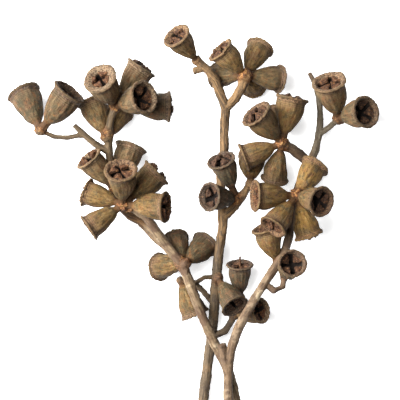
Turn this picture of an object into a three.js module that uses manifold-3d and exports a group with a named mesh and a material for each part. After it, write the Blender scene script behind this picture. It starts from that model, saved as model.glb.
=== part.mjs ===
// A bunch of three dried eucalyptus branches with their seed capsules, lying on a flat surface.
// Each branch is one forked woody stem. Each capsule is a bell-shaped cup on a short stalk that
// grows from a swollen knot of its stem. Millimetres, +X across, +Y towards the tips, +Z up.
// The origin is on the surface, under the middle of the bunch.
import * as THREE from "three";
import { mergeVertices } from "three/addons/utils/BufferGeometryUtils.js";
import Module from "manifold-3d";

const wasm = await Module();
wasm.setup();

// ---- Driving dimensions ----
const BUNCH_LENGTH = 290; // from the lowest cut end to the highest capsule
const CUP_LENGTH = 21; // a capsule from the top of its stalk to its rim
const CUP_RADIUS = 9; // at the rim
const RIM_HEIGHT = 2.2; // the thick lip at the mouth
const MOUTH_RADIUS = 5.6; // the hole inside the lip
const MOUTH_DEPTH = 5; // down to the valves
const STALK_LENGTH = 2.4; // a plain stalk, past its knot
const STALK_RADIUS = 1.5;
const STEM_RADIUS = 2.8; // at the cut ends
const TWIG_RADIUS = 1.4; // where a twig ends in a knot of capsules
const KNOT_RADIUS = 3.2; // the largest swellings that capsules grow from
const GAP = 0.35; // between any two pieces

// ---- How finely the round shapes are cut ----
const CUP_SIDES = 10;
const STEM_SIDES = 8;
const STEM_STEP = 8; // along a stem
const KNOT_DETAIL = 1;

// The routes below are drawn for this length and this cup, and stretch with them.
const DRAWN_LENGTH = 290;
const DRAWN_CUP = 21;
const SPREAD = BUNCH_LENGTH / DRAWN_LENGTH;
const LIFT = CUP_LENGTH / DRAWN_CUP;

// The right branch lies over the left one near their cut ends.
const LEFT_AT_CROSSING = 10;
const RIGHT_AT_CROSSING = LEFT_AT_CROSSING + (2 * STEM_RADIUS + 2 * GAP) / LIFT;

// ---- The three branches ----
// A limb is [route, radius at its start, radius at its end]; the first limb of a branch is its
// main stem, and each later one starts inside an earlier one. Route points are [x, y, height].
const BRANCHES = {
  left: {
    colour: 0xb39a72,
    limbs: [
      [[[30, -184.9, 3.2], [26, -150, 4.4], [21.5, -120, 7.4], [17, -103, LEFT_AT_CROSSING],
        [9, -87, 14], [3.5, -75, 17.5], [-2.5, -60, 20.5], [-8, -45, 22.5], [-13, -36, 23],
        [-20, -28, 22]], STEM_RADIUS, 3],
      // the dark stem behind, up to the top knot
      [[[-20, -28, 22], [-28, -21, 18.5], [-36, -12.5, 15.5], [-45, -7.5, 14.5], [-50, 0, 15],
        [-52, 12, 16.5], [-54.5, 27, 19], [-55, 38, 20.5], [-53.5, 49, 21], [-50.5, 56.5, 21]], 3, 2.2],
      // the pale stalk in front, up to the middle knot
      [[[-20, -28, 22], [-27, -17.5, 24.5], [-33, -9.5, 26.5], [-39, -5.5, 27.5], [-46, -3, 28]], 2.9, 2.4],
      // the side twig to the pair at the far left, and the broken end beside it
      [[[-55.5, 29.5, 19.4], [-63, 33.5, 20.5], [-70.5, 40, 21], [-75.5, 45, 21.5]], 2.3, 1.6],
      [[[-71, 39, 21], [-78, 37.5, 21], [-87, 37.8, 21], [-95.5, 41.5, 21.5]], 1.5, TWIG_RADIUS],
    ],
  },
  middle: {
    colour: 0x7d6448,
    limbs: [
      [[[-5, -179, 3], [-2, -150, 3], [2, -120, 3.2], [5, -96, 3.6], [8, -72, 5.5], [9, -57, 8.5],
        [10, -45, 11], [12, -27, 14], [14, -12, 15.5], [13, -3, 15.5], [12.5, 12, 15.5],
        [14.5, 30, 16.5], [14.5, 45, 18], [15.5, 55, 19.5]], STEM_RADIUS, 2.3],
      // the two arms at the top
      [[[15.5, 55, 19.5], [12.5, 62.5, 20], [10.5, 69.5, 21], [6.5, 76, 22], [2, 80, 22.5],
        [-2, 83.5, 22.5]], 2.5, 2.1],
      [[[15.5, 55, 19.5], [21, 60.5, 21], [24.5, 66, 23], [27, 74.5, 25.5]], 2.2, 2.6],
      // a broken nub on the left arm
      [[[3, 79, 22.5], [-3.5, 77.5, 22]], 1.4, 1.6],
      // the side stalk half way up
      [[[14, -10, 15.5], [21, -3.5, 17], [26.5, 4, 19.5], [30, 9.5, 21.5]], 2.4, 1.7],
      // the low twig on the right
      [[[8, -82, 4.6], [14.5, -79.5, 5.5], [18, -75, 6], [20.5, -69, 6.5], [22, -63.5, 7],
        [24, -59, 7.5]], 1.7, TWIG_RADIUS],
      // the thin twig that passes under the left branch
      [[[7.5, -62, 7.5], [2, -55, 9.5], [-3, -50.5, 10.5], [-8, -47.5, 10.5], [-12, -48.5, 10]], 1.2, 1.1],
      // a dry tendril
      [[[9.5, -46.5, 11], [5, -46, 13], [0, -47.5, 13.5], [-3.5, -50.5, 14]], 1, 0.7],
    ],
  },
  right: {
    colour: 0x8a6d4c,
    limbs: [
      [[[19, -175, 12.5], [17.5, -144, 14], [17, -120, 15], [17, -103, RIGHT_AT_CROSSING],
        [18.5, -91, 20], [22, -79, 25.5], [27.5, -68, 29.5], [34, -57, 29.5], [39.5, -48.5, 26],
        [44.5, -41, 22.5], [50, -32.5, 19.5], [53, -24, 17.5], [54.5, -12, 15], [56.5, -2, 12],
        [58.5, 6, 9.5], [62, 15, 8], [66, 22, 8]], STEM_RADIUS, 2.2],
      // the short cut stub near the crossing
      [[[16.6, -104, RIGHT_AT_CROSSING], [15, -95, 18.5], [13, -87, 21]], 2.6, 2.4],
      // the arm to the left knot
      [[[66, 22, 8], [60, 27, 13], [54, 31.5, 19.5], [49, 34, 23.5]], 2.9, 2.7],
      // the thin arm on the right, which ends in a bare tip
      [[[66, 22, 8], [69.5, 30, 8.5], [71.5, 39, 9], [72.5, 48, 8.5], [72, 57, 7.5], [71, 66, 6.5],
        [68.5, 72, 6], [66, 76.5, 5.5]], 2.3, 1.2],
      [[[71.7, 39.5, 9], [75.5, 41.5, 9.5], [79.5, 45.5, 10.5], [83.5, 49, 11]], 1.7, TWIG_RADIUS],
      // the short stalk that lifts the middle knot clear of the stem
      [[[57.5, 2.5, 10.7], [57, 2, 18], [57.5, 2.5, 26], [57.5, 2.5, 28.5]], 2, 1.8],
      // the bent stalk of the low capsule
      [[[38.5, -50, 26.6], [43.5, -54, 27], [48, -54.5, 25.5], [50, -50, 23.5],
        [50.5, -45.5, 21.5]], 1.7, 1.5],
    ],
  },
};

// ---- The knots and their capsules ----
// A knot's place is a point of its stem, beside moves it off the stem's middle line, and swell is
// its size against the largest knots.
// A capsule is [heading, rise, size, extra stalk]: the heading turns from +X towards +Y and the
// rise is above the surface, in degrees; the extra stalk is in millimetres.
const KNOTS = [
  { name: "left_tip", branch: "left", at: [-95.5, 41.5, 21.5],
    capsules: [[115, -26, 1.1, 0], [53, 16, 1.13, 1.2]] },
  { name: "left_top", branch: "left", at: [-50.5, 56.5, 21],
    capsules: [[120, 50, 1.12, -0.5], [56, 2, 1.03, 1], [15, 50, 1.08, 0], [359, -4, 1, 6]] },
  { name: "left_neck", branch: "left", at: [-56, 37, 20.5],
    capsules: [[113, -12, 0.98, -0.5], [65, -42, 0.93, 0]] },
  { name: "left_middle", branch: "left", at: [-46, -3, 28],
    capsules: [[93, 42, 1.08, 0], [44, -3, 1, 2], [357, 20, 1, 1], [214, 4, 0.95, 0], [161, -15, 0.92, 0]] },
  { name: "left_back", branch: "left", at: [-51, 6, 15.5],
    capsules: [[70, -14, 1.02, 2], [130, 18, 0.95, 1]] },
  { name: "left_low", branch: "left", at: [-9.5, -38.5, 23.5],
    capsules: [[187, -50, 0.93, -1], [111, -47, 0.9, -1], [43, -42, 0.93, -1]] },

  { name: "middle_tip", branch: "middle", at: [-2, 83.5, 22.5], swell: 0.75,
    capsules: [[130, 36, 0.95, -1.6]] },
  { name: "middle_top", branch: "middle", at: [27, 74.5, 25.5],
    capsules: [[135, 18, 0.93, -2], [179, -46, 0.9, 0], [62, -33, 0.93, -1],
      [355, -27, 0.93, -1], [318, -74, 0.93, 0]] },
  { name: "middle_side", branch: "middle", at: [22, 0.5, 18],
    capsules: [[112, 30, 0.95, 4], [175, 44, 0.95, -2]] },
  { name: "middle_arm", branch: "middle", at: [30, 9.5, 21.5], swell: 0.8,
    capsules: [[84, -44, 0.92, 0]] },
  { name: "middle_low", branch: "middle", at: [24, -59, 7.5], swell: 0.75,
    capsules: [[90, 22, 0.87, -1.4]] },
  { name: "middle_node", branch: "middle", at: [10.5, -46.5, 13], swell: 0.9,
    capsules: [[301, 34, 0.92, 0]] },
  { name: "middle_spur", branch: "middle", at: [20.5, -69.5, 6.5], swell: 0.8,
    capsules: [[11, 42, 0.86, -1]] },
  { name: "middle_thin", branch: "middle", at: [-12, -48.5, 10], swell: 0.55,
    capsules: [[294, -4, 0.95, -2.4]] },

  { name: "right_left_top", branch: "right", at: [49, 34, 23.5],
    capsules: [[132, 28, 1.04, -0.5], [77, 2, 1.04, 0.8], [103, -46, 0.96, 0],
      [201, 2, 0.93, 0], [259, -24, 0.92, 0]] },
  { name: "right_middle", branch: "right", at: [57.5, 2.5, 28.5],
    capsules: [[57, -26, 0.95, -1], [346, 54, 0.98, 0], [288, -7, 0.93, 1],
      [180, 18, 1, 0], [233, 25, 0.95, 1]] },
  { name: "right_bend", branch: "right", at: [46.5, -38.5, 21.6], beside: [0, 0, -4], swell: 0.9,
    capsules: [[108, 16, 0.95, -1]] },
  { name: "right_hook", branch: "right", at: [50.5, -45.5, 21.5], swell: 0.7,
    capsules: [[60, 68, 0.94, -0.6]] },
  { name: "right_tip", branch: "right", at: [83.5, 49, 11],
    capsules: [[106, 36, 1.1, -0.5], [13, 54, 1.05, 0]] },
];

// ---- Helpers ----
const place = ([x, y, height]) => new THREE.Vector3(x * SPREAD, y * SPREAD, height * LIFT);

const knotCentre = ({ at, beside = [0, 0, 0] }) => place(at).add(new THREE.Vector3(...beside));

// A closed three.js geometry as a solid that can be joined and cut.
function solidOf(geometry) {
  const bare = geometry.index ? geometry.toNonIndexed() : geometry.clone();
  bare.deleteAttribute("normal");
  bare.deleteAttribute("uv");
  const merged = mergeVertices(bare, 1e-4);
  return new wasm.Manifold(new wasm.Mesh({
    numProp: 3,
    vertProperties: merged.attributes.position.array,
    triVerts: new Uint32Array(merged.index.array),
  }));
}

// A solid as a three.js geometry again.
function geometryOf(solid) {
  const { vertProperties, triVerts } = solid.getMesh();
  return new THREE.BufferGeometry()
    .setAttribute("position", new THREE.BufferAttribute(vertProperties, 3))
    .setIndex(new THREE.BufferAttribute(triVerts, 1));
}

// A tapering stem through the route's points, closed by flat ends.
function limbGeometry([route, startRadius, endRadius], grow) {
  const curve = new THREE.CatmullRomCurve3(route.map(place), false, "centripetal");
  const steps = Math.max(2, Math.round(curve.getLength() / STEM_STEP));
  const centres = curve.getSpacedPoints(steps);
  const frames = curve.computeFrenetFrames(steps, false);
  // a grown limb also reaches past its own ends
  centres[0].addScaledVector(frames.tangents[0], -grow);
  centres[steps].addScaledVector(frames.tangents[steps], grow);
  const positions = [];
  const faces = [];
  centres.forEach((centre, i) => {
    const radius = THREE.MathUtils.lerp(startRadius, endRadius, i / steps) + grow;
    for (let side = 0; side < STEM_SIDES; side += 1) {
      const angle = (2 * Math.PI * side) / STEM_SIDES;
      const point = centre.clone()
        .addScaledVector(frames.normals[i], radius * Math.cos(angle))
        .addScaledVector(frames.binormals[i], radius * Math.sin(angle));
      positions.push(...point);
    }
  });
  const startCap = positions.length / 3;
  positions.push(...centres[0], ...centres[steps]);
  for (let side = 0; side < STEM_SIDES; side += 1) {
    const next = (side + 1) % STEM_SIDES;
    for (let i = 0; i < steps; i += 1) {
      const a = i * STEM_SIDES + side;
      const b = i * STEM_SIDES + next;
      faces.push(a, b, a + STEM_SIDES, b, b + STEM_SIDES, a + STEM_SIDES);
    }
    faces.push(startCap, next, side);
    faces.push(startCap + 1, steps * STEM_SIDES + side, steps * STEM_SIDES + next);
  }
  return new THREE.BufferGeometry()
    .setAttribute("position", new THREE.Float32BufferAttribute(positions, 3))
    .setIndex(faces);
}

// The swelling on a stem that capsules grow from.
function knotGeometry(knot, grow) {
  const ball = new THREE.IcosahedronGeometry(KNOT_RADIUS * (knot.swell ?? 1) + grow, KNOT_DETAIL);
  return ball.translate(...knotCentre(knot));
}

// A whole branch, or the space it needs when it is grown by a gap.
function branchSolid(name, grow) {
  const limbs = BRANCHES[name].limbs.map((limb) => solidOf(limbGeometry(limb, grow)));
  const knots = KNOTS.filter((knot) => knot.branch === name)
    .map((knot) => solidOf(knotGeometry(knot, grow)));
  return [...limbs, ...knots].reduce((joined, solid) => joined.add(solid));
}

// A capsule about +Z, from the middle of its knot: stalk, swelling cup, thick lip and open mouth.
function capsuleGeometry(size, extraStalk, grow) {
  const neck = KNOT_RADIUS + STALK_LENGTH * size + extraStalk;
  const length = CUP_LENGTH * size;
  const radius = CUP_RADIUS * size + grow;
  const stalk = STALK_RADIUS * size + grow;
  const top = neck + length + grow;
  const lip = RIM_HEIGHT * size;
  const wall = [
    [0, 0], [stalk, 0], [stalk, neck - grow], [0.47 * radius, neck + 0.11 * length],
    [0.77 * radius, neck + 0.34 * length], [0.92 * radius, neck + 0.64 * length],
    [0.91 * radius, top - 1.6 * lip], [radius, top - 0.8 * lip], [0.94 * radius, top],
  ];
  const mouth = [
    [MOUTH_RADIUS * size, top], [0.75 * MOUTH_RADIUS * size, top - MOUTH_DEPTH * size],
    [0, top - MOUTH_DEPTH * size],
  ];
  const filled = [[0, top]];
  const outline = [...wall, ...(grow ? filled : mouth)].map(([r, z]) => new THREE.Vector2(r, z));
  return new THREE.LatheGeometry(outline, CUP_SIDES).rotateX(Math.PI / 2);
}

// Turns +Z to a capsule's heading and rise, and moves it to its knot.
function growthMatrix(knot, heading, rise) {
  const turn = THREE.MathUtils.degToRad(heading);
  const tilt = THREE.MathUtils.degToRad(rise);
  const axis = new THREE.Vector3(
    Math.cos(tilt) * Math.cos(turn), Math.cos(tilt) * Math.sin(turn), Math.sin(tilt));
  const rotation = new THREE.Quaternion().setFromUnitVectors(new THREE.Vector3(0, 0, 1), axis);
  return new THREE.Matrix4().compose(knotCentre(knot), rotation, new THREE.Vector3(1, 1, 1));
}

// ---- The pieces ----
const bunch = new THREE.Group();

function addPiece(name, solid, colour, roughness) {
  const material = new THREE.MeshStandardMaterial({ color: colour, roughness, metalness: 0 });
  const mesh = new THREE.Mesh(geometryOf(solid), material);
  mesh.name = name;
  bunch.add(mesh);
}

for (const [name, branch] of Object.entries(BRANCHES)) {
  addPiece(name + "_branch", branchSolid(name, 0), branch.colour, 0.8);
}

// Each capsule gives way to the stems and to the capsules before it, so that nothing overlaps.
const stemSpaces = Object.keys(BRANCHES).map((name) => branchSolid(name, GAP));
const capsuleSpaces = [];
for (const knot of KNOTS) {
  knot.capsules.forEach(([heading, rise, size, extraStalk], i) => {
    const matrix = growthMatrix(knot, heading, rise);
    const grownHere = (grow) =>
      solidOf(capsuleGeometry(size, extraStalk, grow).applyMatrix4(matrix));
    let capsule = grownHere(0);
    for (const space of [...stemSpaces, ...capsuleSpaces]) {
      capsule = capsule.subtract(space);
    }
    capsuleSpaces.push(grownHere(GAP));
    addPiece(`${knot.name}_capsule_${i + 1}`, capsule, 0x85704a, 0.75);
  });
}

// The bunch rests on the surface, with its middle over the origin.
const box = new THREE.Box3().setFromObject(bunch, true);
const middle = box.getCenter(new THREE.Vector3());
bunch.position.set(-middle.x, -middle.y, -box.min.z);

const part = new THREE.Group();
part.add(bunch);
export default part;
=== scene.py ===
# %% [markdown]
# # A bunch of dried eucalyptus
#
# Three cut branches lie together on a pale floor. Each is one forked woody stem, and it carries
# clusters of bell-shaped seed capsules. The bunch is 29 cm long, and each capsule about 2 cm.
#
# The measured model gives every stem and capsule its place. This lesson makes one capsule, ages a
# copy of it for each place, grows bark over the stems, and mixes the colours of dry husk and wood.

import heapq
import math

import bpy
import numpy as np
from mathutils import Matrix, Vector, noise


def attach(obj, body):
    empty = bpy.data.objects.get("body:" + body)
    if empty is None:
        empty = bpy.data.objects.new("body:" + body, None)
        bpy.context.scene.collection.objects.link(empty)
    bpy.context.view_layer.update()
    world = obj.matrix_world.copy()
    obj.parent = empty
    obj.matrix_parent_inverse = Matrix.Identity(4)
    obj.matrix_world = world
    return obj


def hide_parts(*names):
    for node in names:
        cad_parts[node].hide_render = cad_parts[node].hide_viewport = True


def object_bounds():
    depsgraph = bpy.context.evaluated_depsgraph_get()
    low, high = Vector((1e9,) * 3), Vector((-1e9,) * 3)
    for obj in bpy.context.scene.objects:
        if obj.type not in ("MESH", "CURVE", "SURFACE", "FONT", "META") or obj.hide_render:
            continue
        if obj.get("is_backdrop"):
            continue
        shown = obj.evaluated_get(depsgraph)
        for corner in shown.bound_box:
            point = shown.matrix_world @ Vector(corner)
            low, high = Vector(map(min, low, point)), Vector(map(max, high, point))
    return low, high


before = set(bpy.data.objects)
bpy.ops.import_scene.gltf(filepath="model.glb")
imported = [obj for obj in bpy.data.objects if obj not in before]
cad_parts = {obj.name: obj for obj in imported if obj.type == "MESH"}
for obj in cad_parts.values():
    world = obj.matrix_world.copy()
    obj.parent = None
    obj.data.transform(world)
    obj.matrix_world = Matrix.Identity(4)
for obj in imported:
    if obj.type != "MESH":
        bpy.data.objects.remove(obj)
cad_low, cad_high = ([float(v) for v in corner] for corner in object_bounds())
MM = 0.001
STEMS = [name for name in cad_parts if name.endswith("_branch")]
CAPSULES = sorted(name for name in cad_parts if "_capsule_" in name)
print(len(STEMS), "branches and", len(CAPSULES), "capsules in a box of",
      [round(h - l, 3) for l, h in zip(cad_low, cad_high)])

# %% [markdown]
# ## Camera, floor and light
#
# The bunch lies down, so the camera looks straight down on it. It is far off with a long lens,
# which keeps the capsules at the edge from leaning outwards. It frames the capsules, and the cut
# ends run out of the picture.
#
# The light is a very large soft panel on the left, with a weaker one above it. It leaves the right
# side of each capsule dark and shows its round shape. A weak pale sky fills the shadows. The floor
# is lit past white, so that its shadows stay faint, and it throws no light back up at the capsules'
# dark sides.

# %% Camera
# the camera looks at a point that lies this far below the tip of the bunch
BELOW_TIP = 0.1044
AIM = Vector((0.0041, cad_high[1] - BELOW_TIP, 0.022))
# how wide a piece of floor it shows, and how high it is above the bunch
WIDE = 0.240
FAR = 2.6

lens = bpy.data.cameras.new("camera")
lens.sensor_width = 36
lens.lens = lens.sensor_width * FAR / WIDE
lens.clip_end = 10
camera = bpy.data.objects.new("camera", lens)
camera.location = AIM + Vector((0, 0, FAR))
bpy.context.collection.objects.link(camera)
bpy.context.scene.camera = camera
print("lens", round(lens.lens), "mm")

# %% Floor, sky and panels
bpy.ops.mesh.primitive_plane_add(size=8, location=(0, 0, 0))
floor = bpy.context.active_object
floor.name = "floor"
floor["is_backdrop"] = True
WHITE = (1, 1, 1, 1)
PAPER = (0.93, 0.93, 0.93, 1)
paper = bpy.data.materials.new("paper")
paper.use_nodes = True
surface = paper.node_tree.nodes["Principled BSDF"].inputs
surface["Base Color"].default_value = PAPER
surface["Roughness"].default_value = 0.9
surface["Emission Color"].default_value = WHITE
surface["Emission Strength"].default_value = 0.6
floor.data.materials.append(paper)
floor.visible_diffuse = False

sky = bpy.data.worlds.new("sky")
sky.use_nodes = True
sky.node_tree.nodes["Background"].inputs["Color"].default_value = WHITE
sky.node_tree.nodes["Background"].inputs["Strength"].default_value = 0.17
bpy.context.scene.world = sky
bpy.context.scene.view_settings.view_transform = "Standard"


def panel(name, place, size, watts):
    """A square soft light that faces the bunch."""
    light = bpy.data.lights.new(name, "AREA")
    light.size = size
    light.energy = watts
    lamp = bpy.data.objects.new(name, light)
    lamp.location = place
    lamp.rotation_euler = (AIM - Vector(place)).to_track_quat("-Z", "Y").to_euler()
    bpy.context.collection.objects.link(lamp)


panel("key", place=(-1.75, 0.55, 1.25), size=1.3, watts=205)
panel("high", place=(-0.8, 0.3, 2.0), size=1.2, watts=75)
print("floor, sky and two panels")

# %% [markdown]
# ## Helpers
#
# Every step works on one object at a time, so it is selected alone first. Numbers that belong to
# each point of a mesh, such as how far up the capsule it is, are kept on the mesh as attributes,
# and the materials read them by name.

# %% Helpers
def pick(obj):
    """Selects this object alone."""
    bpy.ops.object.select_all(action="DESELECT")
    obj.select_set(True)
    bpy.context.view_layer.objects.active = obj


def edit(obj):
    """Opens this object alone in edit mode, with nothing selected in it."""
    pick(obj)
    bpy.ops.object.mode_set(mode="EDIT")
    bpy.ops.mesh.select_all(action="DESELECT")


def done():
    """Leaves edit mode."""
    bpy.ops.object.mode_set(mode="OBJECT")


def finish_with(obj, kind, **settings):
    """Adds a modifier and applies it."""
    pick(obj)
    modifier = obj.modifiers.new(kind.lower(), kind)
    for key, value in settings.items():
        setattr(modifier, key, value)
    bpy.ops.object.modifier_apply(modifier=modifier.name)


def points_of(mesh):
    """The places of all points of a mesh, one row each."""
    points = np.empty(len(mesh.vertices) * 3)
    mesh.vertices.foreach_get("co", points)
    return points.reshape(-1, 3)


def keep(mesh, name, values):
    """Stores one number or one vector for each point of the mesh."""
    values = np.asarray(values, dtype=np.float32)
    vector = values.ndim == 2
    store = mesh.attributes.get(name) or mesh.attributes.new(
        name, "FLOAT_VECTOR" if vector else "FLOAT", "POINT")
    store.data.foreach_set("vector" if vector else "value", values.ravel())


def ramp(values, start, end):
    """0 before start, 1 after end, and smooth between them."""
    t = np.clip((values - start) / (end - start), 0, 1)
    return t * t * (3 - 2 * t)


def rough(points, octaves=3):
    """Cloudy noise between about -1 and 1 at each point."""
    return np.array([noise.fractal(Vector(p), 0.7, 2.1, octaves) for p in points])


print("helpers ready")

# %% [markdown]
# ## One capsule
#
# A eucalyptus capsule is a woody bell. It widens quickly from a short stalk, runs almost straight
# up its sides, and ends in a thick lip. Inside the lip four pointed valves leave a cross-shaped
# opening above a dark hollow.
#
# The bell is round, so it could be spun from its outline. Extruding one ring upwards and resizing
# it at each step gives the same shape. It is drawn in millimetres around the origin, with its rim
# at a height of 21.

# %% The bell
RIM_AT = 21
RIM_RADIUS = 9
POINTS_AROUND = 88
# radius and height of each ring, from the foot of the stalk, up the side, over the lip and down to
# the bottom of the hollow
OUTLINE = [
    (3.0, -1.0), (2.65, -0.6), (2.55, -0.2), (2.8, 0.2), (3.25, 0.7), (3.75, 1.3), (4.25, 2.0),
    (4.72, 2.8), (5.18, 3.7), (5.62, 4.7), (6.05, 5.8), (6.45, 7.0), (6.82, 8.2), (7.18, 9.5),
    (7.5, 10.8), (7.75, 12.1), (7.9, 13.4), (7.95, 14.6), (7.9, 15.7), (7.83, 16.6), (7.8, 17.3),
    (7.9, 17.9), (8.15, 18.4), (8.42, 18.8), (8.36, 19.1), (8.65, 19.35), (9.15, 19.6),
    (9.42, 19.95), (9.45, 20.3), (9.25, 20.65), (8.85, 20.9), (8.4, 21.0), (8.0, 20.95),
    (7.6, 20.8), (7.2, 20.6), (6.8, 20.38), (6.4, 20.1), (6.0, 19.8), (5.65, 19.45), (5.35, 19.0),
    (5.15, 18.5), (5.1, 17.8), (5.1, 17.0), (5.0, 16.0), (4.7, 14.8), (4.1, 13.6), (3.2, 12.6),
    (2.1, 11.9), (0.9, 11.6),
]

bpy.ops.object.select_all(action="DESELECT")
bpy.ops.mesh.primitive_circle_add(vertices=POINTS_AROUND, radius=OUTLINE[0][0], fill_type="NGON",
                                  location=(0, 0, 0))
bell = bpy.context.active_object
bell.name = "bell"
edit(bell)
bpy.ops.mesh.select_all(action="SELECT")
bpy.ops.transform.translate(value=(0, 0, OUTLINE[0][1]))
for (radius, height), (next_radius, next_height) in zip(OUTLINE, OUTLINE[1:]):
    bpy.ops.mesh.extrude_edges_move(
        TRANSFORM_OT_translate={"value": (0, 0, next_height - height)})
    grow = next_radius / radius
    bpy.ops.transform.resize(value=(grow, grow, 1), center_override=(0, 0, next_height))
bpy.ops.mesh.edge_face_add()
bpy.ops.mesh.poke()
bpy.ops.mesh.select_all(action="SELECT")
bpy.ops.mesh.normals_make_consistent(inside=False)
done()
print("bell:", len(bell.data.vertices), "points in", len(OUTLINE), "rings")

# %% [markdown]
# ### The valves
#
# A valve is a small pointed plate, hinged at the wall of the mouth. It starts as a three-sided
# prism, which is rounded by a bevel and subdivided so that its top can swell. Three more copies
# turn about the middle. One capsule keeps its dry style, a thin spike in the middle of the valves.

# %% One valve
VALVE_AT = 18.2
VALVE_MIDDLE = (3.45, 0, VALVE_AT)
bpy.ops.object.select_all(action="DESELECT")
bpy.ops.mesh.primitive_cylinder_add(vertices=3, radius=3.5, depth=1.5, location=VALVE_MIDDLE)
valve = bpy.context.active_object
valve.name = "valve"
bpy.ops.object.transform_apply(location=True, rotation=True, scale=True)
points = points_of(valve.data)
tip_angle = math.atan2(points[0][1], points[0][0] - VALVE_MIDDLE[0])
edit(valve)
bpy.ops.mesh.select_all(action="SELECT")
bpy.ops.transform.rotate(value=-(math.pi - tip_angle), orient_axis="Z",
                         center_override=VALVE_MIDDLE)
bpy.ops.transform.resize(value=(0.92, 1.12, 1), center_override=VALVE_MIDDLE)
bpy.ops.mesh.bevel(offset=0.25, segments=2, affect="EDGES")
bpy.ops.mesh.select_all(action="SELECT")
bpy.ops.mesh.subdivide(number_cuts=7)
bpy.ops.mesh.quads_convert_to_tris()
done()
points = points_of(valve.data)
print("valve:", len(points), "points, from", points.min(0).round(2), "to", points.max(0).round(2))

# %% A dry style
STYLE_MIDDLE = (0, 0, 21.4)
bpy.ops.object.select_all(action="DESELECT")
bpy.ops.mesh.primitive_cone_add(vertices=10, radius1=1.2, radius2=0.65, depth=10,
                                location=STYLE_MIDDLE)
style = bpy.context.active_object
style.name = "style"
edit(style)
bpy.ops.mesh.select_all(action="SELECT")
bpy.ops.mesh.subdivide(number_cuts=4)
done()
style_points = points_of(style.data) + STYLE_MIDDLE
style_faces = [list(f.vertices) for f in style.data.polygons]
print("style:", len(style_points), "points")

# %% Join pieces of one capsule
def joined(name, parts):
    """One new mesh from several [points, faces, part numbers], and each point's part number."""
    mesh = bpy.data.meshes.new(name)
    all_points, all_faces, all_parts, start = [], [], [], 0
    for part_points, faces, part in parts:
        all_points.append(part_points)
        all_faces += [[i + start for i in face] for face in faces]
        all_parts.append(part)
        start += len(part_points)
    mesh.from_pydata(np.concatenate(all_points).tolist(), [], all_faces)
    mesh.update()
    return mesh, np.concatenate(all_parts)


bell_points = points_of(bell.data)
bell_faces = [list(f.vertices) for f in bell.data.polygons]
valve_points = points_of(valve.data)
valve_faces = [list(f.vertices) for f in valve.data.polygons]
tip = valve_points[np.argmin(np.hypot(valve_points[:, 0], valve_points[:, 1]))]
print("tip of the valve at", tip.round(2))

# %% [markdown]
# ## Ageing a copy for each place
#
# No two dried capsules match. Each copy of the bell is turned, squeezed a little square, creased
# lengthwise, dented and given its own crooked lip and its own set of the valves. Then it is laid
# along the axis of the measured capsule that it stands for.
#
# The measured capsule gives that axis by its flat faces: its lip and the floor of its mouth are
# the largest faces that look the same way.

# %% Measure a capsule
# two faces look the same way if their normals' product is above this
SAME_WAY = 0.9998


def measure(node):
    """The rim's middle, the axis towards it, the rim's radius and the length down to the foot."""
    mesh = node.data
    points = points_of(mesh)
    normals = np.array([f.normal[:] for f in mesh.polygons])
    centres = np.array([f.center[:] for f in mesh.polygons])
    areas = np.array([f.area for f in mesh.polygons])
    alike = (normals @ normals.T > SAME_WAY) @ areas
    same = normals @ normals[np.argmax(alike)] > SAME_WAY
    axis = (normals[same] * areas[same, None]).sum(0)
    axis /= np.linalg.norm(axis)
    heights = centres @ axis
    rim = heights[same].max()
    low = same & (heights < rim - 2 * MM)
    middle = (centres[low] * areas[low, None]).sum(0) / areas[low].sum()
    middle = middle + axis * (rim - middle @ axis)
    out = points - middle
    radius = np.linalg.norm(out - np.outer(out @ axis, axis), axis=1).max()
    return middle, axis, radius, -(out @ axis).min()


places = {name: measure(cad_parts[name]) for name in CAPSULES}
radii = [place[2] for place in places.values()]
print("rim radii from", round(min(radii) / MM, 1), "to", round(max(radii) / MM, 1), "mm")

# %% Mouths and habits
# How each kind of mouth is set: the valves' tilt in degrees (up is positive), how far they stand up
# in millimetres, how far they reach to the middle, how thick they are, how ragged the lip is, and
# how wide the opening.
MOUTHS = {
    "shut": (6, 0.1, 1.0, 1.0, 0.45, 1.15), "open": (-22, -0.6, 0.84, 1.0, 0.4, 1.3),
    "small": (10, 0.4, 0.85, 1.5, 0.5, 0.9), "proud": (12, 1.7, 0.8, 2.3, 0.6, 1.1),
    "ragged": (26, 1.2, 0.85, 1.2, 1.2, 1.15), "plain": (-6, -0.3, 0.92, 1.0, 0.4, 1.2),
    "spiked": (10, 0.3, 0.95, 1.0, 0.5, 1.15),
}
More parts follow.
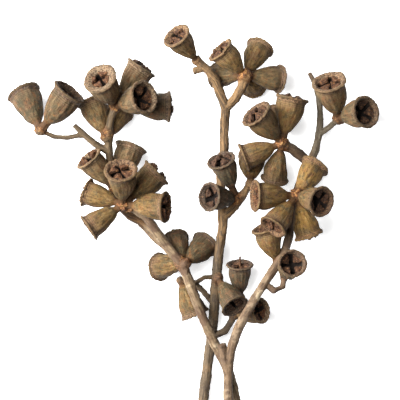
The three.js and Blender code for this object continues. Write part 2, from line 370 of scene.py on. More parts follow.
# How golden and how slender the capsules of each knot are, and the mouth and darkness of each, from
# 0 for pale to 1 for dark. The darkness is partly the capsule's own tone and partly painted shade and
# painted light, set for how much each capsule lies in shadow.
HABITS = {
    "left_tip": (0.6, 0.4, [("plain", 0.95), ("open", 0.85)]),
    "left_top": (0.1, 0.2, [("small", 0.35), ("proud", 0.35), ("open", 0.35), ("proud", 0.8)]),
    "left_neck": (0.5, 0.3, [("plain", 0.4), ("plain", 0.0)]),
    "left_middle": (0.8, 0.5, [("shut", 0.5), ("proud", 0.6), ("proud", 0.4), ("plain", 0.5),
                               ("ragged", 0.3)]),
    "left_back": (0.2, 0.5, [("plain", 0.4), ("proud", 0.0)]),
    "left_low": (0.8, 0.6, [("plain", 0.5), ("plain", 0.9), ("plain", 1.0)]),
    "middle_tip": (0.6, 1.0, [("shut", 0.2)]),
    "middle_top": (0.6, 0.8, [("ragged", 0.0), ("plain", 0.8), ("plain", 0.25), ("plain", 0.7),
                              ("plain", 0.0)]),
    "middle_side": (0.1, 0.6, [("ragged", 1.0), ("open", 1.0)]),
    "middle_arm": (0.5, 0.5, [("plain", 0.0)]),
    "middle_low": (0.3, 0.5, [("spiked", 1.0)]),
    "middle_node": (0.8, 0.9, [("plain", 1.0)]),
    "middle_spur": (0.2, 0.3, [("open", 0.1)]),
    "middle_thin": (0.7, 0.9, [("plain", 0.5)]),
    "right_left_top": (0.8, 0.6, [("ragged", 0.65), ("ragged", 0.4), ("plain", 0.7), ("plain", 0.4),
                                  ("plain", 0.65)]),
    "right_middle": (1.0, 0.5, [("plain", 0.25), ("open", 0.7), ("ragged", 0.0), ("shut", 0.45),
                                ("shut", 0.5)]),
    "right_bend": (0.8, 0.6, [("shut", 0.35)]),
    "right_hook": (0.7, 0.3, [("open", 0.8)]),
    "right_tip": (0.4, 0.1, [("shut", 0.35), ("open", 0.7)]),
}
print(len(MOUTHS), "kinds of mouth for the capsules of", len(HABITS), "knots")

# %% Age the bell
# where the valves' hinges sit, measured from the capsule's middle
VALVE_SEAT = 5.2
# points nearer to the middle than this belong to the mouth, and further out to the wall and lip
MOUTH_RADIUS = 5.4
# the crest of the lip stands this far out, and a wider opening pushes nothing beyond it
CREST_RADIUS = 8.2


def age_bell(points, seed, slender, ragged, wide, foot):
    """The bell's points with its creases, dents and crooked lip."""
    rng = np.random.default_rng(seed)
    x, y, z = points.T
    angle = np.arctan2(y, x)
    radius = np.hypot(x, y)
    up = z / RIM_AT
    # 1 on the side, and 0 on the stalk and the lip
    side = ramp(up, -0.02, 0.25) * (1 - ramp(up, 0.86, 0.95))
    outside = radius > MOUTH_RADIUS
    ring = np.stack([np.cos(angle), np.sin(angle)], axis=1)
    shift = rng.uniform(-40, 40, 3)
    creases = rough(np.column_stack([ring * 3.4, up * 1.3]) + shift, 3)
    fine = rough(np.column_stack([ring * 9.0, up * 2.2]) - shift, 2)
    dents = rough(np.column_stack([ring * 1.0, up * 1.8]) + shift * 0.5, 2)
    # four soft corners make it a little square
    corners = np.cos(4 * (angle - rng.uniform(0, 2 * math.pi)))
    push = side * (0.42 * creases + 0.15 * fine + 0.6 * dents + 0.2 * corners * ramp(up, 0.2, 0.8))
    # the lip is thick here and worn there
    lip = ramp(up, 0.86, 0.93)
    worn = rough(np.column_stack([ring * 2.2, up * 3]) + shift * 0.3, 2)
    grit = rough(np.column_stack([points[:, :2] * 0.9, z * 0.9]) + shift, 3)
    push = push + lip * (0.34 * worn + 0.3 * grit) * (radius > 5.0)
    radius = radius + push
    radius = radius * (1 - 0.2 * slender * (1 - ramp(up, 0.08, 0.8)))
    # a wide mouth is opened from inside
    drawn_radius = np.hypot(x, y)
    mouth = (points[:, 2] > 11) & (drawn_radius < CREST_RADIUS)
    inner = mouth & ((points[:, 2] > 19.2) | (drawn_radius < 5.5))
    opening = 1 + (wide - 1) * (1 - ramp(drawn_radius, VALVE_SEAT, CREST_RADIUS))
    radius = np.where(inner, radius * opening, radius)
    notches = rough(np.column_stack([ring * 5.5, 0 * up]) + shift, 3)
    drop = lip * (ragged * (0.6 * notches + 0.3 * worn) + 0.28 * grit)
    z = z + np.where(outside | (up > 0.9), drop, 0.4 * drop)
    oval = rng.uniform(0.0, 0.035)
    turn = rng.uniform(0, math.pi)
    radius = radius * (1 + oval * np.cos(2 * (angle - turn)) * ramp(up, 0.1, 0.6))
    # the stalk stretches down to its knot, and is lumpy where it joins
    stalk = z < 0
    z = np.where(stalk, z * -foot, z)
    radius = radius + 0.25 * (1 - ramp(up, 0, 0.12)) * grit * (points[:, 2] > -0.95)
    bend = rng.uniform(-0.5, 0.5, 2) * (np.sin(np.clip(up, 0, 1) * math.pi) ** 2)[:, None]
    return np.column_stack([radius[:, None] * ring + bend, z])


print("the bell can be aged")


# %% Set a valve
def set_valve(points, quarter, tilt, stand, reach, thick, wide, rng):
    """One valve tilted on its hinge and turned to its quarter."""
    tilt = math.radians(tilt + rng.uniform(-13, 13))
    x, y, z = points.T
    out = x - VALVE_SEAT
    rise = (z - VALVE_AT) * thick
    dome = 0.5 * (1 - (y / 3.8) ** 2) * (rise > 0)
    rise = rise * (0.55 + 0.45 * np.clip(x / VALVE_SEAT, 0, 1)) + dome
    tilted_out = out * math.cos(tilt) + rise * math.sin(tilt)
    tilted_rise = -out * math.sin(tilt) + rise * math.cos(tilt)
    reach = reach * rng.uniform(0.75, 1.08)
    stand = stand + rng.uniform(-0.35, 0.45)
    x = (VALVE_SEAT + tilted_out * reach) * wide
    y = y * rng.uniform(0.88, 1.0) * wide
    z = VALVE_AT + tilted_rise + stand
    # the surface of an old valve is crumbled
    away = rng.uniform(-90, 90, 3)
    crumble = rough(points * 0.75 + away, 3)
    lumps = rough(points * 0.3 - away, 2)
    x = x - 0.6 * crumble
    z = z + 0.8 * crumble + 0.9 * lumps
    turn = quarter * math.pi / 2 + rng.uniform(-0.07, 0.07)
    turned_x = x * math.cos(turn) - y * math.sin(turn)
    turned_y = x * math.sin(turn) + y * math.cos(turn)
    return np.column_stack([turned_x, turned_y, z])


print("a valve can be set")

# %% Age every capsule
# each capsule's number seeds its bell, and this much more its valves, colours and turn
VALVE_SEEDS = 900


def age_capsule(name, number):
    """The husk of one measured capsule, laid in its place."""
    middle, axis, radius, length = places[name]
    rng = np.random.default_rng(VALVE_SEEDS + number)
    size = radius / (RIM_RADIUS * MM)
    foot = RIM_AT - length / (size * MM) - 1.0
    knot, place = name.rsplit("_capsule_", 1)
    golden, slender, habits = HABITS[knot]
    kind, tone_and_painted_shade = habits[int(place) - 1]
    tilt, stand, reach, thick, ragged, wide = MOUTHS[kind]
    aged = age_bell(bell_points, number, slender, ragged, wide, foot)
    parts = [(aged, bell_faces, np.zeros(len(aged)))]
    for quarter in range(4):
        valve_now = set_valve(valve_points, quarter, tilt, stand, reach, thick, wide, rng)
        parts.append((valve_now, valve_faces, np.ones(len(valve_now))))
    extra = []
    if kind == "spiked":
        parts.append((style_points, style_faces, np.ones(len(style_points))))
        extra = [style_points]
    mesh, part = joined(name.replace("capsule", "husk"), parts)
    local = points_of(mesh)
    # the shape before ageing tells the materials what is where
    plain = np.concatenate([bell_points] + [valve_points] * 4 + extra)
    plain_radius = np.hypot(plain[:, 0], plain[:, 1])
    shift = rng.uniform(-50, 50, 3)
    keep(mesh, "up", np.clip(local[:, 2] / RIM_AT, -0.3, 1.1))
    keep(mesh, "valve", part)
    plain_height = plain[:, 2]
    inside = (1 - part) * ramp(8.75 - plain_radius, 0, 0.4) * (plain_height > 18.3)
    keep(mesh, "lip", inside * (plain_radius > VALVE_SEAT))
    # where the hollow inside the mouth is painted nearly black, as painted shade
    deep_in = (plain_radius < 5.9) * (plain_height > 11) * (1 - ramp(plain_height, 17.6, 19.3))
    keep(mesh, "hollow_painted_shade", (1 - part) * deep_in)
    # each capsule's darkness: partly its own tone, partly painted shade and painted light
    keep(mesh, "tone_and_painted_shade", np.full(len(local), tone_and_painted_shade))
    keep(mesh, "golden", np.full(len(local), golden))
    keep(mesh, "tone", np.full(len(local), rng.uniform(0, 1)))
    keep(mesh, "spot", local + shift)
    keep(mesh, "grain", local * (1, 1, 0.16) + shift)
    # laid along the measured axis
    side = np.cross(axis, (0.3, 0.5, 0.81))
    side /= np.linalg.norm(side)
    spin = rng.uniform(0, math.pi / 2)
    first = side * math.cos(spin) + np.cross(axis, side) * math.sin(spin)
    second = np.cross(axis, first)
    local[:, 2] -= RIM_AT
    placed = middle + (local @ np.array([first, second, axis])) * size * MM
    placed[:, 2] = np.maximum(placed[:, 2], 0)  # it lies on the floor, not in it
    mesh.vertices.foreach_set("co", placed.ravel())
    mesh.shade_smooth()
    husk = bpy.data.objects.new(mesh.name, mesh)
    bpy.context.collection.objects.link(husk)
    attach(husk, "root")
    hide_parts(name)
    return husk


husks = [age_capsule(name, number) for number, name in enumerate(CAPSULES)]
for pattern in (bell, valve, style):
    bpy.data.objects.remove(pattern, do_unlink=True)
print(len(husks), "husks of", len(husks[0].data.vertices), "points")

# %% [markdown]
# ## The stems
#
# A stem with forks, stubs and knots has no seam between them, so it isn't made from parts. The
# measured stem is copied, closed into one skin of small even squares by a voxel remesh, and
# smoothed until its flat sides are gone. Each smoothing step but the last two is followed by one
# that swells the skin again, so that the thin twigs keep their thickness. Then lengthwise creases,
# lumps and crumbs are raised on it.
#
# Bark runs lengthwise. A walk over the skin from the cut end gives each point its distance along
# the stem, round every fork, and the creases are stretched along it.

# %% Skin of a stem
VOXEL = 0.5 * MM
# how much one step shrinks the skin, how much the next swells it, and how many pairs there are
SHRINK = 0.5
REGROW = -0.53
PAIRS = 9


def skin_of(name):
    """A smooth closed copy of a measured stem."""
    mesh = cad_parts[name].data.copy()
    mesh.name = name.replace("branch", "stem")
    mesh.materials.clear()
    stem = bpy.data.objects.new(mesh.name, mesh)
    bpy.context.collection.objects.link(stem)
    edit(stem)
    bpy.ops.mesh.select_all(action="SELECT")
    bpy.ops.mesh.remove_doubles(threshold=0.00001)
    bpy.ops.mesh.normals_make_consistent(inside=False)
    done()
    finish_with(stem, "REMESH", mode="VOXEL", voxel_size=VOXEL)
    for _ in range(PAIRS):
        finish_with(stem, "SMOOTH", factor=SHRINK, iterations=1)
        finish_with(stem, "SMOOTH", factor=REGROW, iterations=1)
    finish_with(stem, "SMOOTH", factor=SHRINK, iterations=2)
    return stem


def walk_from_cut(mesh):
    """Distance over the skin from the cut end to each point."""
    points = points_of(mesh)
    beside = [[] for _ in points]
    for face in mesh.polygons:
        corners = list(face.vertices)
        for i in range(len(corners)):
            for j in range(i):
                a, b = corners[i], corners[j]
                step = float(np.linalg.norm(points[a] - points[b]))
                beside[a].append((b, step))
                beside[b].append((a, step))
    far = np.full(len(points), np.inf)
    heap = [(0.0, int(i)) for i in np.flatnonzero(points[:, 1] < points[:, 1].min() + 1.5 * MM)]
    for _, i in heap:
        far[i] = 0
    while heap:
        here, i = heapq.heappop(heap)
        if here > far[i]:
            continue
        for j, step in beside[i]:
            if here + step < far[j]:
                far[j] = here + step
                heapq.heappush(heap, (far[j], j))
    return far


stems = [skin_of(name) for name in STEMS]
print("skins of", [len(stem.data.vertices) for stem in stems], "points")

# %% Bark on a stem
# where the foot of each capsule meets its knot
FEET = np.array([middle - axis * length for middle, axis, _, length in places.values()])
# a knot of one capsule is nearly bare, and a knot of three or more is all crumbs
CRUMBS_OF_KNOT = {1: 0.3, 2: 0.85, 3: 1.0}
knots = [name.rsplit("_capsule_", 1)[0] for name in places]
CRUMBS = np.array([CRUMBS_OF_KNOT[min(knots.count(knot), 3)] for knot in knots])

# where each stem is scarred: beside which knot, how far from it and how long the scar is
SCARS = {"left_stem": ("left_low", (0, 0), 12), "middle_stem": ("middle_node", (0, 0), 6),
         "right_stem": ("right_hook", (-13.5, -13), 6)}

# how thick the bark is that each measured stem still lacks, in millimetres
EXTRA_BARK = {"left_stem": 0.05, "middle_stem": 0.6, "right_stem": 0.35}


def grow_bark(stem, seed):
    """Raises bark on a stem, and keeps on its points what the colours need."""
    mesh = stem.data
    points = points_of(mesh)
    normals = np.empty(len(points) * 3)
    mesh.vertices.foreach_get("normal", normals)
    normals = normals.reshape(-1, 3)
    along = walk_from_cut(mesh) / MM
    shift = np.random.default_rng(seed).uniform(-40, 40, 3)
    grain = normals * 2.6 + along[:, None] * np.array((0.05, 0.06, 0.05)) + shift
    near = np.linalg.norm(points[:, None] - FEET[None], axis=2) / MM
    joint = ((1 - ramp(near, 2.5, 6.0)) * CRUMBS).max(axis=1)
    place = points / MM
    knot, aside, reach = SCARS[stem.name]
    feet = [foot for name, foot in zip(knots, FEET) if name == knot]
    scar_at = np.mean(feet, axis=0)[:2] / MM + aside
    scar = 1 - ramp(np.linalg.norm(place[:, :2] - scar_at, axis=1), 0.3 * reach, reach)
    print(stem.name, "scar at", scar_at.round(1))
    creases = rough(grain * 1.5, 3)
    lumps = rough(place / 7 + shift, 2)
    warts = np.maximum(rough(place / 2.4 - shift, 2) - 0.25, 0)
    crumbs = rough(place / 1.7 + shift, 3)
    push = EXTRA_BARK[stem.name] + 0.2 * creases + 0.3 * lumps + 0.55 * warts
    push = push + joint * (1.2 * crumbs + 0.7)
    barked = points + normals * push[:, None] * MM
    barked[:, 2] = np.maximum(barked[:, 2], 0)  # it lies on the floor, not in it
    mesh.vertices.foreach_set("co", barked.ravel())
    keep(mesh, "grain", grain)
    keep(mesh, "spot", place + shift)
    keep(mesh, "joint", joint)
    keep(mesh, "scar", scar)
    keep(mesh, "along", along / along.max())
    keep(mesh, "height", place[:, 2])
    keep(mesh, "across", place[:, 0])
    keep(mesh, "wart", np.clip(warts * 3, 0, 1))
    mesh.shade_smooth()


for seed, stem in enumerate(stems):
    grow_bark(stem, seed + 3)
print("bark on", [stem.name for stem in stems])

# %% [markdown]
# ### Cut ends
#
# The smoothing rounded the cut ends. Each is sliced flat again, and the new face is inset twice
# for the ring of bark and the soft middle.

# %% Slice the cut ends
SLICE = 1.1 * MM
# the radii of the whole cut and of its soft middle, in millimetres
CUT_RADIUS = 2.7
PITH_RADIUS = 1.6


def slice_end(stem, name):
    """Cuts off the rounded end, a slice behind where the measured stem ends."""
    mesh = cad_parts[name].data
    low = min(v.co.y for v in mesh.vertices)
    caps = [f for f in mesh.polygons if f.normal.y < -0.9 and f.center.y < low + 3 * MM]
    area = sum(f.area for f in caps)
    middle = sum((f.center * f.area for f in caps), Vector()) / area
    facing = sum((f.normal * f.area for f in caps), Vector()).normalized()
    start = middle - facing * SLICE
    edit(stem)
    bpy.ops.mesh.select_all(action="SELECT")
    bpy.ops.mesh.bisect(plane_co=start, plane_no=facing, use_fill=True, clear_outer=True)
    for width in (0.3, 1.5):
        bpy.ops.mesh.inset(thickness=width * MM, use_even_offset=False)
    done()
    points = points_of(stem.data)
    out = points - np.array(start)
    flat = np.abs(out @ np.array(facing)) < 0.02 * MM
    across = np.linalg.norm(out, axis=1) / MM
    keep(stem.data, "cut", flat & (across < CUT_RADIUS))
    keep(stem.data, "pith", flat & (across < PITH_RADIUS))
    for face in stem.data.polygons:
        if face.normal.dot(facing) > 0.95 and (face.center - start).length < 4 * MM:
            face.use_smooth = False


for stem, name in zip(stems, STEMS):
    slice_end(stem, name)
    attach(stem, "root")
    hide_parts(name)
print("cut ends sliced")

# %% [markdown]
# ## Colours of husk and bark
#
# Dry husk is olive brown, with rusty patches, pale streaks along it and dark pits. Its lip is
# paler and gritty, its valves are rusty, and the hollow is painted nearly black as painted shade.
# Each capsule is made darker or paler as a whole, partly by its own tone and partly by painted
# shade and painted light for how much it lies in shadow. A line of painted shade runs under the lip,
# and one stem's lower fork is painted darker where it lies in the shade of another. All of it is
# mixed from noise, which reads the positions kept on each mesh, so that no two capsules get the
# same marks and the streaks follow the stem or the capsule.

# %% Shader helpers
def link_value(tree, socket, value):
    """Plugs in another node's output, or sets a plain value."""
    if isinstance(value, bpy.types.NodeSocket):
        tree.links.new(value, socket)
    else:
        socket.default_value = value


def group(name, outputs):
    """An empty node group with these outputs. Returns it and its output node."""
    tree = bpy.data.node_groups.new(name, "ShaderNodeTree")
    for label, kind in outputs:
        tree.interface.new_socket(name=label, in_out="OUTPUT", socket_type="NodeSocket" + kind)
    return tree, tree.nodes.new("NodeGroupOutput")


def kept_value(tree, name, vector=False):
    """What is kept on the mesh under this name."""
    node = tree.nodes.new("ShaderNodeAttribute")
    node.attribute_name = name
    return node.outputs["Vector" if vector else "Fac"]


def clouds(tree, where, scale, detail, roughness):
    """Soft noise around 0.5."""
    node = tree.nodes.new("ShaderNodeTexNoise")
    link_value(tree, node.inputs["Vector"], where)
    for label, value in (("Scale", scale), ("Detail", detail), ("Roughness", roughness)):
        node.inputs[label].default_value = value
    return node.outputs["Fac"]


def pits(tree, where, scale):
    """Distance to the nearest of many scattered dots."""
    node = tree.nodes.new("ShaderNodeTexVoronoi")
    link_value(tree, node.inputs["Vector"], where)
    node.inputs["Scale"].default_value = scale
    return node.outputs["Distance"]


def fade(tree, value, start, end, low=0.0, high=1.0):
    """Maps start..end to low..high, held at both ends."""
    node = tree.nodes.new("ShaderNodeMapRange")
    link_value(tree, node.inputs["Value"], value)
    for label, number in (("From Min", start), ("From Max", end), ("To Min", low), ("To Max", high)):
        node.inputs[label].default_value = number
    return node.outputs["Result"]


def mixed(tree, amount, first, second):
    """The first colour at 0, the second at 1."""
    node = tree.nodes.new("ShaderNodeMix")
    node.data_type = "RGBA"
    link_value(tree, node.inputs["Factor"], amount)
    link_value(tree, node.inputs["A"], first)
    link_value(tree, node.inputs["B"], second)
    return node.outputs["Result"]


def sums(tree, how, first, second=0.0):
    """One sum of two values, or of one for a sine or an absolute value."""
    node = tree.nodes.new("ShaderNodeMath")
    node.operation = how
    link_value(tree, node.inputs[0], first)
    link_value(tree, node.inputs[1], second)
    return node.outputs[0]


def rgb(red, green, blue):
    """A solid colour."""
    return (red, green, blue, 1)


print("shader helpers ready")

# %% Noise on a husk
LOOK = [("Color", "Color"), ("Roughness", "Float"), ("Height", "Float")]
husk_tree, husk_out = group("husk_look", LOOK)
t = husk_tree
spot, grain = kept_value(t, "spot", True), kept_value(t, "grain", True)
up, lip, hollow_painted_shade = kept_value(t, "up"), kept_value(t, "lip"), kept_value(t, "hollow_painted_shade")
leaf, tone_and_painted_shade, tone = kept_value(t, "valve"), kept_value(t, "tone_and_painted_shade"), kept_value(t, "tone")
golden = kept_value(t, "golden")

# the larger the scale, the smaller the marks
patches = clouds(t, spot, 0.15, 4, 0.6)
blotches = clouds(t, spot, 0.38, 5, 0.65)
streaks = clouds(t, grain, 0.7, 5, 0.62)
fine_streaks = clouds(t, grain, 2.2, 4, 0.6)
grit = clouds(t, spot, 1.6, 5, 0.7)
flecks = clouds(t, spot, 0.95, 4, 0.7)
holes = pits(t, spot, 0.5)
# fine wavy rings run round the husk below its rim
wavy = sums(t, "ADD", up, sums(t, "MULTIPLY", blotches, 0.045))
rings = sums(t, "SINE", sums(t, "MULTIPLY", wavy, 118.0))
near_rim = fade(t, up, 0.66, 0.8)
print("noise from", len(t.nodes), "nodes")

# %% Skin of a husk
# the skin runs from pale to dark by each capsule's own tone and painted shade
pale = mixed(t, golden, rgb(0.156, 0.101, 0.046), rgb(0.190, 0.104, 0.022))
dark_and_shaded_skin = mixed(t, golden, rgb(0.035, 0.028, 0.017), rgb(0.046, 0.031, 0.011))
skin = mixed(t, tone_and_painted_shade, pale, dark_and_shaded_skin)
pale_streak = mixed(t, golden, rgb(0.25, 0.175, 0.09), rgb(0.30, 0.185, 0.058))
# the pale streaks are darkened too by the capsule's tone and painted shade
pale_streak = mixed(t, tone_and_painted_shade, pale_streak, rgb(0.13, 0.085, 0.035))
# red-brown and olive patches, then rusty and dark blotches
skin = mixed(t, fade(t, patches, 0.52, 0.62, 0.0, 0.6), skin, rgb(0.115, 0.055, 0.026))
skin = mixed(t, fade(t, patches, 0.47, 0.38, 0.0, 0.65), skin, rgb(0.038, 0.033, 0.016))
skin = mixed(t, fade(t, blotches, 0.55, 0.62, 0.0, 0.6), skin, rgb(0.140, 0.050, 0.012))
skin = mixed(t, fade(t, blotches, 0.46, 0.36, 0.0, 0.75), skin, rgb(0.032, 0.027, 0.013))
# pale and dark streaks along it
skin = mixed(t, fade(t, streaks, 0.53, 0.66, 0.0, 0.6), skin, pale_streak)
skin = mixed(t, fade(t, streaks, 0.46, 0.35, 0.0, 0.65), skin, rgb(0.026, 0.016, 0.007))
skin = mixed(t, fade(t, fine_streaks, 0.46, 0.34, 0.0, 0.45), skin, rgb(0.024, 0.015, 0.007))
# dark and pale grit, and pits
skin = mixed(t, fade(t, grit, 0.46, 0.34, 0.0, 0.65), skin, rgb(0.023, 0.013, 0.006))
skin = mixed(t, fade(t, grit, 0.56, 0.68, 0.0, 0.4), skin, rgb(0.22, 0.14, 0.065))
skin = mixed(t, fade(t, holes, 0.2, 0.1, 0.0, 0.8), skin, rgb(0.020, 0.009, 0.004))
# the wavy rings, dark and pale
ring_lines = sums(t, "MULTIPLY", fade(t, rings, 0.2, 0.95, 0.0, 0.55), near_rim)
skin = mixed(t, ring_lines, skin, rgb(0.030, 0.018, 0.009))
pale_lines = sums(t, "MULTIPLY", fade(t, rings, -0.5, -0.95, 0.0, 0.35), near_rim)
skin = mixed(t, pale_lines, skin, rgb(0.20, 0.13, 0.07))
# browner towards the rim, with a line of painted shade in the groove under the lip and a rusty foot
high_up = sums(t, "MULTIPLY", fade(t, up, 0.55, 0.92), fade(t, blotches, 0.35, 0.6))
skin = mixed(t, sums(t, "MULTIPLY", high_up, 0.5), skin, rgb(0.088, 0.052, 0.030))
# painted shade: a dark line in the narrow groove just under the lip
from_lip = sums(t, "ABSOLUTE", sums(t, "SUBTRACT", up, 0.915))
painted_shade_under_lip = fade(t, from_lip, 0.016, 0.004, 0.0, 0.7)
skin = mixed(t, painted_shade_under_lip, skin, rgb(0.025, 0.014, 0.008))
foot = sums(t, "MULTIPLY", fade(t, up, 0.11, 0.0), fade(t, grit, 0.4, 0.6))
skin = mixed(t, foot, skin, rgb(0.13, 0.055, 0.013))
skin = mixed(t, fade(t, up, 0.06, -0.04, 0.0, 0.7), skin, rgb(0.036, 0.015, 0.006))
print("skin added:", len(t.nodes), "nodes")

# %% Lip, valves and hollow
# the lip's crust is pale and gritty, and darkened by the capsule's own tone and painted shade
crust_pale = mixed(t, golden, rgb(0.290, 0.205, 0.120), rgb(0.250, 0.130, 0.052))
crust = mixed(t, tone_and_painted_shade, crust_pale, rgb(0.066, 0.046, 0.032))
crust = mixed(t, fade(t, blotches, 0.45, 0.62, 0.0, 0.7), crust, rgb(0.120, 0.058, 0.027))
crust = mixed(t, fade(t, flecks, 0.49, 0.40, 0.0, 0.85), crust, rgb(0.034, 0.018, 0.010))
crust = mixed(t, fade(t, grit, 0.52, 0.42, 0.0, 0.95), crust, rgb(0.020, 0.011, 0.007))
crust_flecks = mixed(t, golden, rgb(0.36, 0.26, 0.155), rgb(0.32, 0.175, 0.075))
crust = mixed(t, fade(t, flecks, 0.58, 0.68, 0.0, 0.6), crust, crust_flecks)
# the valves are rusty, and darkened by the capsule's own tone and painted shade
rust = mixed(t, tone, rgb(0.105, 0.040, 0.014), rgb(0.050, 0.022, 0.011))
rust = mixed(t, sums(t, "MULTIPLY", tone_and_painted_shade, 0.4), rust, rgb(0.034, 0.020, 0.012))
rust = mixed(t, fade(t, grit, 0.54, 0.40), rust, rgb(0.010, 0.005, 0.003))
rust_flecks = mixed(t, tone_and_painted_shade, rgb(0.38, 0.170, 0.055), rgb(0.19, 0.095, 0.040))
rust = mixed(t, fade(t, flecks, 0.55, 0.66, 0.0, 0.75), rust, rust_flecks)
color = mixed(t, lip, skin, crust)
color = mixed(t, leaf, color, rust)
# painted shade: the hollow inside the mouth is painted nearly black
color = mixed(t, hollow_painted_shade, color, rgb(0.010, 0.006, 0.004))
t.links.new(color, husk_out.inputs["Color"])
t.links.new(fade(t, streaks, 0.35, 0.65, 0.9, 0.62), husk_out.inputs["Roughness"])
relief = sums(t, "ADD", sums(t, "MULTIPLY", streaks, 0.9), sums(t, "MULTIPLY", grit, 0.9))
relief = sums(t, "ADD", relief, sums(t, "MULTIPLY", fine_streaks, 0.4))
relief = sums(t, "ADD", relief, fade(t, holes, 0.05, 0.22, -0.6, 0.0))
relief = sums(t, "SUBTRACT", relief, sums(t, "MULTIPLY", ring_lines, 0.35))
t.links.new(relief, husk_out.inputs["Height"])
print("whole husk:", len(t.nodes), "nodes")


# %% Put the look on every husk
def finished(name, tree, depth):
    """A dull material whose colour, roughness and relief come from one group."""
    material = bpy.data.materials.new(name)
    material.use_nodes = True
    nodes, links = material.node_tree.nodes, material.node_tree.links
    shader = nodes["Principled BSDF"]
    shader.inputs["Specular IOR Level"].default_value = 0.25
    look = nodes.new("ShaderNodeGroup")
    look.node_tree = tree
    bump = nodes.new("ShaderNodeBump")
    bump.inputs["Strength"].default_value = 1.0
    bump.inputs["Distance"].default_value = depth
    links.new(look.outputs["Color"], shader.inputs["Base Color"])
    links.new(look.outputs["Roughness"], shader.inputs["Roughness"])
    links.new(look.outputs["Height"], bump.inputs["Height"])
    links.new(bump.outputs["Normal"], shader.inputs["Normal"])
    return material


dry_husk = finished("dry_husk", husk_tree, 0.6 * MM)
for husk in husks:
    husk.data.materials.append(dry_husk)
print("one look on", len(husks), "husks")

# %% Bark colours
# The light bark, dark bark, dark patches, bare patches and scar of each stem, the two colours of its
# upper twigs, how far along the stem and how far right these start, and how strongly painted shade
# darkens its lower fork, where it lies under another stem.
BARKS = {
    "left_stem": (rgb(0.205, 0.142, 0.080), rgb(0.075, 0.047, 0.026), rgb(0.060, 0.030, 0.018),
                  rgb(0.330, 0.255, 0.165), rgb(0.072, 0.039, 0.022),
                  rgb(0.028, 0.019, 0.010), rgb(0.100, 0.066, 0.032), (0.66, -150), 0.9),
    "middle_stem": (rgb(0.104, 0.070, 0.038), rgb(0.038, 0.027, 0.017), rgb(0.050, 0.032, 0.020),
                    rgb(0.128, 0.080, 0.040), rgb(0.060, 0.034, 0.020),
                    rgb(0.050, 0.030, 0.014), rgb(0.188, 0.108, 0.045), (0.52, -150), 0.0),
    "right_stem": (rgb(0.158, 0.100, 0.056), rgb(0.055, 0.034, 0.021), rgb(0.066, 0.039, 0.024),
                   rgb(0.200, 0.143, 0.088), rgb(0.360, 0.280, 0.180),
                   rgb(0.055, 0.043, 0.026), rgb(0.150, 0.122, 0.082), (0.6, 71), 0.0),
}
print("colours for", len(BARKS), "stems")


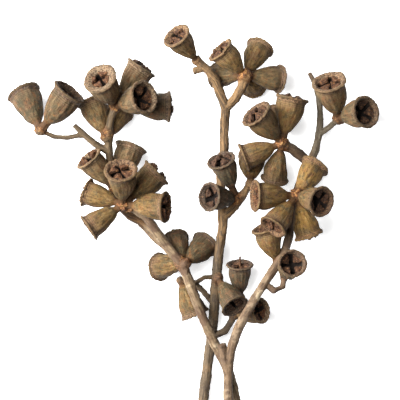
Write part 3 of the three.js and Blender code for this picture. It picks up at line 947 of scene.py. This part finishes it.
# %% Bark
def bark_tree(name, light, dark, patch, bare, scar, old_dark, old_light, upper, lower_fork_shade):
    """The colour, roughness and relief of one stem."""
    t, out = group(name, LOOK)
    spot, grain = kept_value(t, "spot", True), kept_value(t, "grain", True)
    joint, wart = kept_value(t, "joint"), kept_value(t, "wart")
    cut, pith = kept_value(t, "cut"), kept_value(t, "pith")
    areas = clouds(t, spot, 0.09, 4, 0.6)
    streaks = clouds(t, grain, 1.6, 5, 0.6)
    fine_streaks = clouds(t, grain, 5.0, 4, 0.6)
    grit = clouds(t, spot, 1.8, 5, 0.7)
    flecks = clouds(t, spot, 0.8, 4, 0.7)
    # streaks along the stem, then dark and bare patches, and the scar
    color = mixed(t, fade(t, streaks, 0.36, 0.62), dark, light)
    color = mixed(t, fade(t, areas, 0.53, 0.60, 0.0, 0.75), color, patch)
    color = mixed(t, fade(t, areas, 0.44, 0.39, 0.0, 0.7), color, bare)
    marked = sums(t, "ADD", kept_value(t, "scar"), sums(t, "SUBTRACT", flecks, 0.5))
    color = mixed(t, fade(t, marked, 0.35, 0.6, 0.0, 0.9), color, scar)
    # the upper twigs have colours of their own, and the lower fork, where it lies under another stem,
    # is darkened with painted shade
    along, height = kept_value(t, "along"), kept_value(t, "height")
    old = mixed(t, fade(t, streaks, 0.4, 0.6), old_dark, old_light)
    upper_along, upper_across = upper
    far_along = fade(t, along, upper_along, upper_along + 0.06)
    far_across = fade(t, kept_value(t, "across"), upper_across, upper_across + 2)
    far = sums(t, "MULTIPLY", far_along, far_across)
    color = mixed(t, sums(t, "MULTIPLY", far, 0.95), color, old)
    # painted shade: the fork below this height lies under another stem and is painted darker brown
    shaded_lower_fork = sums(t, "MULTIPLY", fade(t, along, 0.5, 0.54), fade(t, height, 23.5, 20.5))
    fork_shade_colour = mixed(t, fade(t, streaks, 0.4, 0.6), rgb(0.030, 0.015, 0.006), rgb(0.130, 0.060, 0.017))
    color = mixed(t, sums(t, "MULTIPLY", shaded_lower_fork, lower_fork_shade), color, fork_shade_colour)
    # dark in the fine creases, on the warts and in the grit
    color = mixed(t, fade(t, fine_streaks, 0.46, 0.34, 0.0, 0.6), color, dark)
    color = mixed(t, sums(t, "MULTIPLY", wart, 0.6), color, dark)
    color = mixed(t, fade(t, grit, 0.42, 0.3, 0.0, 0.6), color, rgb(0.035, 0.02, 0.011))
    # orange crumbs at the knots, and pale wood with a brown pith on the cut
    crumbs = mixed(t, fade(t, grit, 0.46, 0.60), rgb(0.045, 0.014, 0.005), rgb(0.24, 0.090, 0.020))
    crumbs = mixed(t, fade(t, flecks, 0.56, 0.68), crumbs, rgb(0.50, 0.29, 0.10))
    crumbs = mixed(t, fade(t, flecks, 0.46, 0.36), crumbs, rgb(0.016, 0.007, 0.004))
    color = mixed(t, sums(t, "MULTIPLY", joint, 0.92), color, crumbs)
    wood = mixed(t, fade(t, grit, 0.35, 0.65), rgb(0.27, 0.19, 0.10), rgb(0.37, 0.28, 0.17))
    wood = mixed(t, pith, wood, rgb(0.16, 0.09, 0.04))
    color = mixed(t, cut, color, wood)
    t.links.new(color, out.inputs["Color"])
    t.links.new(fade(t, grit, 0.3, 0.7, 0.85, 0.6), out.inputs["Roughness"])
    relief = sums(t, "ADD", sums(t, "MULTIPLY", streaks, 0.9), sums(t, "MULTIPLY", fine_streaks, 0.4))
    relief = sums(t, "ADD", relief, sums(t, "MULTIPLY", grit, 0.5))
    t.links.new(relief, out.inputs["Height"])
    return t


for stem in stems:
    look = bark_tree(stem.name + "_look", *BARKS[stem.name])
    stem.data.materials.append(finished(stem.name + "_bark", look, 0.5 * MM))
print("bark on", len(stems), "stems")
